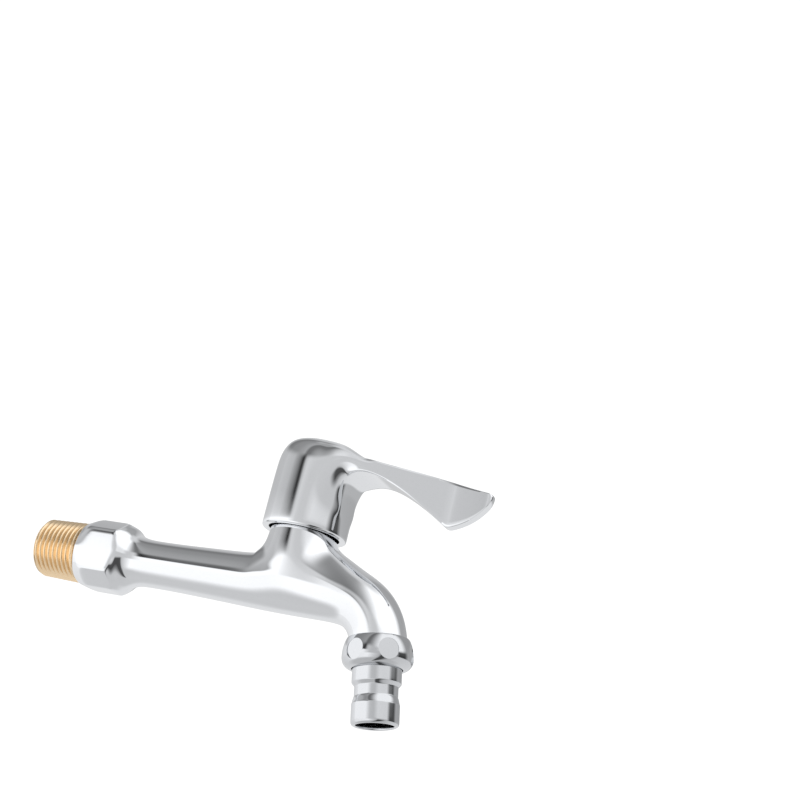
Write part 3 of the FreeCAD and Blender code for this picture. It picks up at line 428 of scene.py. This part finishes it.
# Each finger flat is cut by a short round bar that points out from the nut's axis.
finger_flats, first_flat, flat_radius = 6, 38, 3.45
flat_reach, flat_seat, cutter_length = 3.8, 10.85, 3
for flat in range(finger_flats):
    cutter = start_ring("flat_cutter", 48, flat_radius, (0, 0, flat_seat))
    draw_out((0, 0, 0), (0, 0, 1), [(flat_seat, 1), (flat_seat + cutter_length, 1)])
    close_end(cutter, lambda p: p.z < flat_seat + 1)
    close_end(cutter, lambda p: p.z > flat_seat + 1)
    finish_mesh(cutter, levels=0)
    cutter.rotation_euler = (pi / 2, 0, 0)
    bpy.ops.object.transform_apply(rotation=True)
    cutter.rotation_euler = (0, 0, radians(first_flat + 360 / finger_flats * flat))
    bpy.ops.object.transform_apply(rotation=True)
    cutter.rotation_euler = (0, outlet_lean, 0)
    cutter.location = [o * mm for o in outlet_place(flat_reach)]
    bpy.ops.object.transform_apply(location=True, rotation=True)
    cut_with(nut, cutter, "DIFFERENCE")
bpy.ops.object.shade_smooth_by_angle(angle=radians(20))

# The nut and nipple get a darker copy of the bright chrome, with painted shade in its colour,
# so that they look a shade greyer than the two polished castings.
shaded_fitting_chrome = worn_material("shaded_fitting_chrome", colour=(0.70, 0.71, 0.725), stain=(0.60, 0.615, 0.64),
                              stain_amount=0.3, roughness=0.05, dulling=0.04, scale=130, depth=0.01,
                              metallic=1)
coat(nut, shaded_fitting_chrome)
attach(nut, "tap")
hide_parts("outlet_nut")


# The hose nipple: a turned brass push-on end with a collar, a catch groove for the
# hose clip and a rounded lip, chromed. Its upper end sits inside the nut.
nipple = turn_ring("push_on_nipple", [
    (5.6, 6.2), (26.3, 6.2), (26.8, 6.25), (27.0, 6.6), (26.95, 7.2), (26.5, 7.7), (25.9, 7.85),
    (25.3, 7.85), (20.3, 7.85), (20.05, 7.85), (19.95, 7.75), (18.0, 7.35), (17.75, 7.15), (17.6, 7.15),
    (14.6, 7.15), (14.4, 7.15), (14.25, 7.25), (13.35, 8.0), (13.2, 8.1), (12.9, 8.1), (6.2, 8.1),
    (5.9, 8.1)], angle=50)
# The nipple takes the same chrome with painted shade.
coat(nipple, shaded_fitting_chrome)
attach(nipple, "tap")
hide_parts("hose_nipple")


# The handle: one zinc casting, a domed cap over the valve whose sides run out into
# a fishtail lever, with a thumb arch under it. It is polished and chromed all over,
# and held on the valve's splines by a small screw at the back.
cap_inside, cap_ceiling = 12.5, 43.0
cap_rows = [(cap_ceiling, cap_inside), (26, cap_inside), (19.6, 12.4), (18.5, 12.15), (18.15, 12.4),
            (18.1, 13.9), (18.2, 14.35), (18.6, 14.6), (19.4, 14.65), (24, 14.65), (31, 14.65),
            (38.4, 14.55), (43.6, 14.35), (48.6, 12.4), (50.3, 8.2), (50.6, 4.0), (50.61, 1.2)]
handle = start_ring("handle_casting", cage_corners, cap_inside * cage_swell, (neck_x, 0, cap_ceiling))
draw_out((neck_x, 0, 0), neck_way, cap_rows)
close_end(handle, lambda p: p.z > cap_ceiling + 1)
close_end(handle, lambda p: p.z < cap_ceiling + 1)

# The cap's front is drawn out to two corners on each side, more so near the top.
for level, front_x, front_y, side_x, side_y in (
        (31, 13.6, 6.6, 10.5, 10.9), (38.4, 13.95, 9.8, 10.6, 12.3),
        (43.6, 14.0, 11.7, 9.4, 13.2), (48.6, 13.0, 10.4, 8.2, 11.6)):
    for turn, to_x, to_y in ((22.5, front_x, front_y), (45, side_x, side_y)):
        radius = dict(cap_rows)[level] * cage_swell
        along = radius * cos(radians(turn))
        across = radius * sin(radians(turn))
        choose(handle, "VERT", lambda p: near(p.z, level) and near(p.x - neck_x, along, 0.05)
               and near(abs(p.y), across, 0.05))
        stretch((1, to_y / across, 1), (neck_x, 0, level))
        carry((to_x - along, 0, 0))
for level, front_x in ((24, 14.5), (31, 13.8), (38.4, 13.95)):
    choose(handle, "VERT", lambda p: near(p.z, level) and p.x > neck_x + 14 and near(p.y, 0, 0.05))
    stretch((0, 1, 1), (neck_x + front_x, 0, 0))

# The lever, row by row of reach, half width, underside and top. The cap's front
# corners differ in width from top to bottom, and the lever's first row evens that out.
choose(handle, "FACE", lambda p: p.x > neck_x + 11 and abs(p.y) < 8 and 39 < p.z < 48)
lever_root = (14.0, 11.7, 38.4, 48.6)
lever_rows = [(19, 10.1, 40.7, 45.2), (25, 8.3, 40.0, 44.5), (32, 6.4, 37.4, 44.1), (40, 4.2, 33.3, 43.6),
              (46.5, 2.7, 29.3, 42.8), (49.8, 2.2, 27.0, 42.4), (51.5, 2.1, 27.0, 42.1),
              (57.6, 1.95, 29.9, 41.1), (61.9, 1.9, 34.4, 40.6), (63.9, 1.9, 38.0, 40.2)]
first_row_x = neck_x + lever_rows[0][0] - 0.1
reach, half, low, high = lever_root
for next_reach, next_half, next_low, next_high in lever_rows:
    bpy.ops.mesh.extrude_region_move(TRANSFORM_OT_translate={"value": ((next_reach - reach) * mm, 0, 0)})
    stretch((0, next_half / half, (next_high - next_low) / (high - low)), (neck_x + next_reach, 0, low))
    carry((0, 0, next_low - low))
    if reach == lever_root[0]:
        for level, corner in ((next_low, 9.8), (next_high, 10.4)):
            choose(handle, "VERT", lambda p: p.x > first_row_x and near(p.z, level))
            stretch((1, half / corner, 1), (0, 0, 0))
        choose(handle, "FACE", lambda p: p.x > first_row_x)
    reach, half, low, high = next_reach, next_half, next_low, next_high

# The lever's four long edges stay crisp, and so does the edge that runs down the
# cap's front from each of its lower corners.
edge_middles = [[(a + b) / 2 for a, b in zip(one, two)] for one, two in zip(lever_rows, lever_rows[1:])]
sharpen(handle, 0.6, lambda p: any(
    near(p.x - neck_x, x, 0.05) and near(abs(p.y), y, 0.05)
    and (near(p.z, under, 0.05) or near(p.z, top, 0.05)) for x, y, under, top in edge_middles))
sharpen(handle, 0.8, lambda p: 14 < p.x - neck_x < 19 and 6 < abs(p.y) < 12 and 38.5 < p.z < 40.6)
sharpen(handle, 0.8, lambda p: 13 < p.x - neck_x < 15 and 5.5 < abs(p.y) < 8 and 33 < p.z < 36)
sharpen(handle, 0.7, lambda p: 13 < p.x - neck_x < 15 and 5.5 < abs(p.y) < 8 and 26 < p.z < 29)
finish_mesh(handle, levels=3, angle=60)

screw_level, screw_radius, drill_from, drill_to = 40.475, 2.1, -16, -11
drill = start_ring("screw_drill", 48, screw_radius, (neck_x + drill_from, 0, screw_level), pi / 2)
draw_out((neck_x, 0, screw_level), (1, 0, 0), [(drill_from, screw_radius), (drill_to, screw_radius)])
close_end(drill, lambda p: p.x < neck_x + drill_from + 1)
close_end(drill, lambda p: p.x > neck_x + drill_to - 1)
finish_mesh(drill, levels=0)
cut_with(handle, drill, "DIFFERENCE")
bpy.ops.object.shade_smooth_by_angle(angle=radians(60))
coat(handle, chrome)
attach(handle, "handle")
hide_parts("lever_handle")


# The valve's turned pieces: the bonnet that screws into the neck, the spindle
# through it and the stop ring on top, all of the same bare brass as the thread.
def dress(material, *names):
    """Gives pieces of the fixed model a finish."""
    for name in names:
        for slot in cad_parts[name].material_slots:
            slot.material = material


dress(brass, "cartridge_bonnet", "valve_spindle", "stop_ring")


# The soft seals: black nitrile rings, moulded, a little dusty. They lie in the
# spindle's grooves, under the fixed disc and in the outlet nut.
rubber = worn_material("nitrile_rubber", colour=(0.022, 0.022, 0.024), stain=(0.07, 0.068, 0.064),
                       stain_amount=0.5, roughness=0.55, dulling=0.2, scale=300, depth=0.02)
dress(rubber, "outlet_gasket", "disc_seal", "lower_o_ring", "upper_o_ring")


# The flat washer under the bonnet's flange: pressed red-brown board with short
# fibres, squeezed when the bonnet is screwed down.
fibre = worn_material("pressed_fibre", colour=(0.42, 0.13, 0.07), stain=(0.22, 0.07, 0.04),
                      stain_amount=0.8, roughness=0.7, dulling=0.2, scale=420, depth=0.03)
dress(fibre, "bonnet_gasket")


# The moulded plastic pieces: a ring inside the disc seal, a slide washer over the
# spindle's foot and the splined insert in the handle, all of white nylon.
nylon = worn_material("white_nylon", colour=(0.82, 0.81, 0.77), stain=(0.70, 0.68, 0.62),
                      stain_amount=0.4, roughness=0.38, dulling=0.15, scale=200, depth=0.01)
dress(nylon, "seal_support_ring", "thrust_washer", "spline_insert")


# The valve discs: white alumina, lapped to a shine where the two faces meet. One
# is keyed to the bonnet, and the spindle turns the other.
ceramic = worn_material("lapped_alumina", colour=(0.86, 0.84, 0.80), stain=(0.78, 0.75, 0.70),
                        stain_amount=0.3, roughness=0.14, dulling=0.1, scale=260, depth=0.003)
dress(ceramic, "fixed_ceramic_disc", "moving_ceramic_disc")


# The small steel pieces: the snap ring in the spindle's groove, and the screw that
# clamps the handle from the back.
steel = worn_material("spring_steel", colour=(0.52, 0.53, 0.55), stain=(0.30, 0.30, 0.32),
                      stain_amount=0.5, roughness=0.28, dulling=0.15, scale=300, depth=0.01, metallic=1)
dress(steel, "spindle_clip", "handle_grub_screw")


# The floor: a plain pale table far below the tap. Its own image in the chrome is
# left to the tent, whose lower half stands for the lit table.
bpy.ops.object.select_all(action="DESELECT")
bpy.ops.mesh.primitive_plane_add(size=4, location=(0.08, 0, -0.16))
floor = bpy.context.object
floor.name = "pale_floor"
floor.visible_glossy = False
pale = bpy.data.materials.new("pale_table")
pale.use_nodes = True
pale.node_tree.nodes["Principled BSDF"].inputs["Base Color"].default_value = (0.9, 0.9, 0.9, 1)
pale.node_tree.nodes["Principled BSDF"].inputs["Roughness"].default_value = 0.6
floor.data.materials.append(pale)


# The light: a white tent of grey rings, one above the other. It is brightest high over
# the camera and the lever, and low on the wall's side, and greyer at the back. Dark
# gaps are left beyond the lever, low beside the camera and, narrow, at its left.
world = bpy.data.worlds.new("white_tent")
bpy.context.scene.world = world
world.use_nodes = True
nodes, links = world.node_tree.nodes, world.node_tree.links
place = nodes.new("ShaderNodeTexCoord")
parts = nodes.new("ShaderNodeSeparateXYZ")
links.new(place.outputs["Generated"], parts.inputs["Vector"])
compass = nodes.new("ShaderNodeMath")
compass.operation = "ARCTAN2"
links.new(parts.outputs["Y"], compass.inputs[0])
links.new(parts.outputs["X"], compass.inputs[1])
bearing = nodes.new("ShaderNodeMath")
bearing.operation = "DEGREES"
links.new(compass.outputs[0], bearing.inputs[0])
eye_curve, tent_light, tent_tint = 2.2, 1.2, (1, 1.005, 1.015)


def tent_ring(greys):
    """A ring of greys by bearing, in degrees, each grey as it looks to the eye."""
    span = nodes.new("ShaderNodeMapRange")
    span.inputs["From Min"].default_value = -180
    span.inputs["From Max"].default_value = 180
    links.new(bearing.outputs[0], span.inputs["Value"])
    ramp = nodes.new("ShaderNodeValToRGB")
    ramp.color_ramp.interpolation = "LINEAR"
    links.new(span.outputs["Result"], ramp.inputs["Fac"])
    marks = ramp.color_ramp.elements
    marks[0].position = 0
    marks[1].position = 1
    for where, grey in greys:
        mark = marks.new((where + 180) / 360)
        mark.color = [tent_light * grey ** eye_curve * tint for tint in tent_tint] + [1]
    marks.remove(marks[0])
    marks.remove(marks[len(marks) - 1])
    return ramp.outputs["Color"]


def raise_tent(tent, low, high, greys):
    """Lets a new ring take over from the tent so far, between two heights from -1 to 1."""
    share = nodes.new("ShaderNodeMapRange")
    share.interpolation_type = "SMOOTHSTEP"
    share.inputs["From Min"].default_value = low
    share.inputs["From Max"].default_value = high
    links.new(parts.outputs["Z"], share.inputs["Value"])
    mix = nodes.new("ShaderNodeMix")
    mix.data_type = "RGBA"
    links.new(share.outputs["Result"], mix.inputs["Factor"])
    links.new(tent, mix.inputs["A"])
    links.new(tent_ring(greys), mix.inputs["B"])
    return mix.outputs["Result"]


# From straight below, up past the table and the horizon, to straight above.
tent = tent_ring((
    (-179, 0.76), (-66, 0.74), (-56, 0.3), (-38, 0.3), (-26, 0.6), (-14, 0.74), (179, 0.76)))
tent = raise_tent(tent, -0.85, -0.6, (
    (-179, 0.95), (-100, 1.0), (-84, 0.88), (-61, 0.72), (-54, 0.3), (-38, 0.28), (-28, 0.5), (-16, 0.72),
    (5, 0.8), (60, 0.84), (140, 0.84), (179, 0.9)))
tent = raise_tent(tent, -0.12, 0.0, (
    (-179, 1.0), (-118, 1.0), (-108, 0.9), (-98, 0.78), (-80, 0.76), (-40, 0.74), (-12, 0.74), (2, 0.25),
    (28, 0.25), (44, 0.68), (86, 0.66), (116, 0.74), (141, 0.84), (179, 0.95)))
tent = raise_tent(tent, 0.17, 0.24, (
    (-179, 0.74), (-148, 0.7), (-128, 0.48), (-121, 0.28), (-118, 0.18), (-115.5, 0.28), (-112.5, 0.5),
    (-110, 0.7), (-104, 0.8), (-92, 0.76), (-80, 0.76), (-60, 0.88), (-14, 0.86), (2, 0.3), (28, 0.3),
    (44, 0.66), (86, 0.62), (116, 0.74), (141, 0.7), (179, 0.72)))
tent = raise_tent(tent, 0.36, 0.52, (
    (-179, 0.52), (-150, 0.55), (-124, 0.62), (-116, 0.42), (-108, 0.45), (-98, 0.62), (-84, 0.85),
    (-70, 1.0), (18, 1.0), (40, 0.62), (86, 0.6), (116, 0.78), (141, 0.65), (155, 0.45), (179, 0.5)))
tent = raise_tent(tent, 0.93, 1.0, ((-179, 0.8), (179, 0.8)))
reflected = nodes["Background"]
links.new(tent, reflected.inputs["Color"])
backdrop = nodes.new("ShaderNodeBackground")
backdrop.inputs["Color"].default_value = (1, 1, 1, 1)
backdrop.inputs["Strength"].default_value = 1.1
path = nodes.new("ShaderNodeLightPath")
seen = nodes.new("ShaderNodeMixShader")
links.new(path.outputs["Is Camera Ray"], seen.inputs["Fac"])
links.new(reflected.outputs["Background"], seen.inputs[1])
links.new(backdrop.outputs["Background"], seen.inputs[2])
links.new(seen.outputs["Shader"], nodes["World Output"].inputs["Surface"])

# A broad lamp overhead lights the table.
bpy.ops.object.light_add(type="AREA", location=(0.08, -0.1, 0.7))
lamp = bpy.context.object
lamp.name = "overhead_lamp"
lamp.data.shape = "DISK"
lamp.data.size = 1.0
lamp.data.energy = 5
lamp.visible_glossy = False

# The camera: below the tap and on its lever side, looking up at it.
bpy.ops.object.camera_add(location=(0.335267, -0.490923, -0.099190),
                          rotation=(radians(107.97605), radians(-13.04561), radians(19.51086)))
camera = bpy.context.object
camera.data.lens = 73.814
camera.data.sensor_width = 36
camera.data.clip_start = 0.01
bpy.context.scene.camera = camera
bpy.context.scene.view_settings.view_transform = "Standard"
